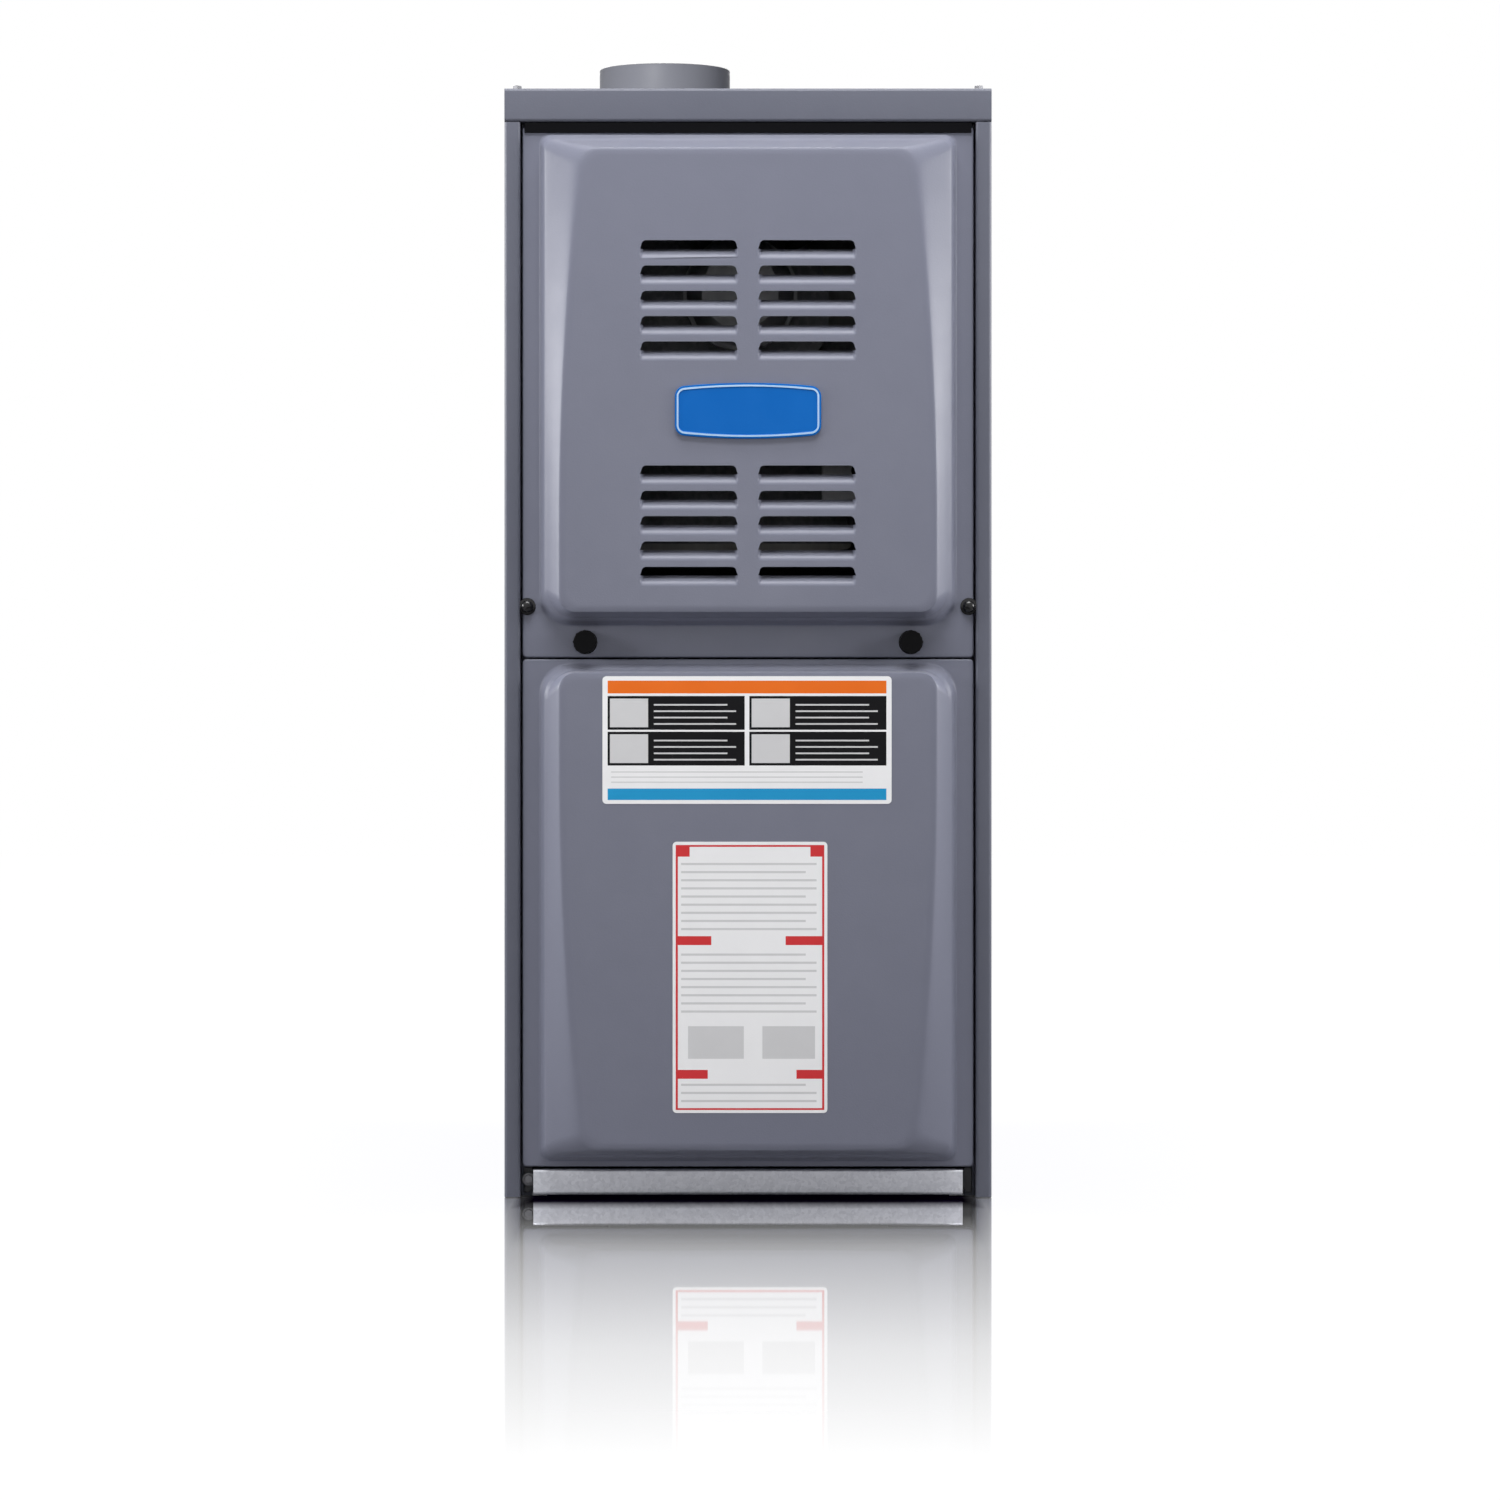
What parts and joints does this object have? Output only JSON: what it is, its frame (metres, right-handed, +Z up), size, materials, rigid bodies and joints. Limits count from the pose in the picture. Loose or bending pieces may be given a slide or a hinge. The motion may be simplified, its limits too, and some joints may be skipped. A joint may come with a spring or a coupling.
{
  "type": "forced air gas furnace",
  "caption": "Upflow forced air gas furnace: tall painted cabinet with a louvred domed burner door above a domed blower door and a round vent collar on top.",
  "frame": {"origin": "on the floor, at the middle of the overall width and depth", "axes": "+X to the right of someone facing the doors, +Y to the back, +Z up"},
  "size_m": [0.3682, 0.7488, 0.8687],
  "materials": {
    "cabinet_paint": "satin",
    "galvanised_steel": "satin",
    "aluminised_steel": "satin",
    "bright_steel": "satin",
    "cast_aluminium": "satin",
    "motor_enamel": "satin",
    "black_plastic": "satin",
    "grey_plastic": "satin",
    "red_plastic": "gloss",
    "black_rubber": "matte",
    "white_ceramic": "matte",
    "blue_badge": "gloss",
    "circuit_board": "satin"
  },
  "bodies": {
    "cabinet": {"left_side_panel": "cabinet_paint", "right_side_panel": "cabinet_paint", "back_panel": "cabinet_paint", "top_front_cap": "cabinet_paint", "vent_pipe": "cabinet_paint", "top_panel": "galvanised_steel", "left_base_rail": "galvanised_steel", "right_base_rail": "galvanised_steel", "bottom_panel": "galvanised_steel", "blower_deck": "galvanised_steel", "vestibule_panel": "galvanised_steel", "tube_rack": "galvanised_steel", "inducer_housing": "galvanised_steel", "inducer_cover": "galvanised_steel", "vent_adapter": "galvanised_steel", "burner_box": "galvanised_steel", "burner_mount_plate": "galvanised_steel", "blower_housing": "galvanised_steel", "motor_mount": "galvanised_steel", "capacitor_strap": "galvanised_steel", "control_panel": "galvanised_steel", "junction_box": "galvanised_steel", "junction_box_cover": "galvanised_steel", "left_base_clip": "motor_enamel", "right_base_clip": "motor_enamel", "inducer_motor": "motor_enamel", "blower_motor": "motor_enamel", "heat_exchanger_tube_1": "aluminised_steel", "heat_exchanger_tube_2": "aluminised_steel", "heat_exchanger_tube_3": "aluminised_steel", "collector_box": "aluminised_steel", "burner_1": "aluminised_steel", "burner_2": "aluminised_steel", "burner_3": "aluminised_steel", "gas_manifold": "bright_steel", "transformer": "bright_steel", "gas_valve": "cast_aluminium", "run_capacitor": "cast_aluminium", "rollout_switch": "black_plastic", "limit_switch": "black_plastic", "terminal_strip": "black_plastic", "door_switch": "black_plastic", "pressure_switch": "grey_plastic", "pressure_hose": "black_rubber", "gas_pipe_grommet": "black_rubber", "igniter": "white_ceramic", "flame_sensor": "white_ceramic", "control_board": "circuit_board"},
    "upper_door": {"upper_door": "cabinet_paint", "badge_plate": "blue_badge", "left_edge_clip": "black_plastic", "right_edge_clip": "black_plastic"},
    "left_knob": {"left_door_knob": "black_plastic"},
    "right_knob": {"right_door_knob": "black_plastic"},
    "lower_door": {"lower_door": "cabinet_paint"},
    "blower_wheel": {"blower_wheel": "galvanised_steel"},
    "inducer_wheel": {"inducer_wheel": "bright_steel"},
    "valve_switch": {"gas_valve_switch": "black_plastic"},
    "reset_button": {"rollout_reset_button": "red_plastic"},
    "switch_plunger": {"door_switch_plunger": "grey_plastic"}
  },
  "joints": [
    {"name": "upper_door_pull_off", "type": "slide", "parent": "cabinet", "child": "upper_door", "axis": [0, -1, 0], "range_m": [0, 0.12]},
    {"name": "lower_door_pull_off", "type": "slide", "parent": "cabinet", "child": "lower_door", "axis": [0, -1, 0], "range_m": [0, 0.12]},
    {"name": "left_knob_turn", "type": "hinge", "parent": "upper_door", "child": "left_knob", "pos_m": [-0.123, -0.3466, 0.4195], "axis": [0, -1, 0], "range_deg": [0, 90]},
    {"name": "right_knob_turn", "type": "hinge", "parent": "upper_door", "child": "right_knob", "pos_m": [0.123, -0.3466, 0.4195], "axis": [0, -1, 0], "range_deg": [0, 90]},
    {"name": "blower_wheel_spin", "type": "hinge", "parent": "cabinet", "child": "blower_wheel", "pos_m": [0, 0.1214, 0.205], "axis": [1, 0, 0], "continuous": true},
    {"name": "inducer_wheel_spin", "type": "hinge", "parent": "cabinet", "child": "inducer_wheel", "pos_m": [-0.006, -0.2, 0.69], "axis": [0, 1, 0], "continuous": true},
    {"name": "gas_valve_switch_turn", "type": "hinge", "parent": "cabinet", "child": "valve_switch", "pos_m": [0.092, -0.2869, 0.5516], "axis": [0, -1, 0], "range_deg": [0, 90]},
    {"name": "rollout_reset_press", "type": "slide", "parent": "cabinet", "child": "reset_button", "axis": [-1, 0, 0], "range_m": [0, 0.0015], "stiffness_N_per_m": 150, "springref_m": -0.001},
    {"name": "door_switch_press", "type": "slide", "parent": "cabinet", "child": "switch_plunger", "axis": [0, 1, 0], "range_m": [0, 0.003], "stiffness_N_per_m": 200, "springref_m": -0.003}
  ]
}
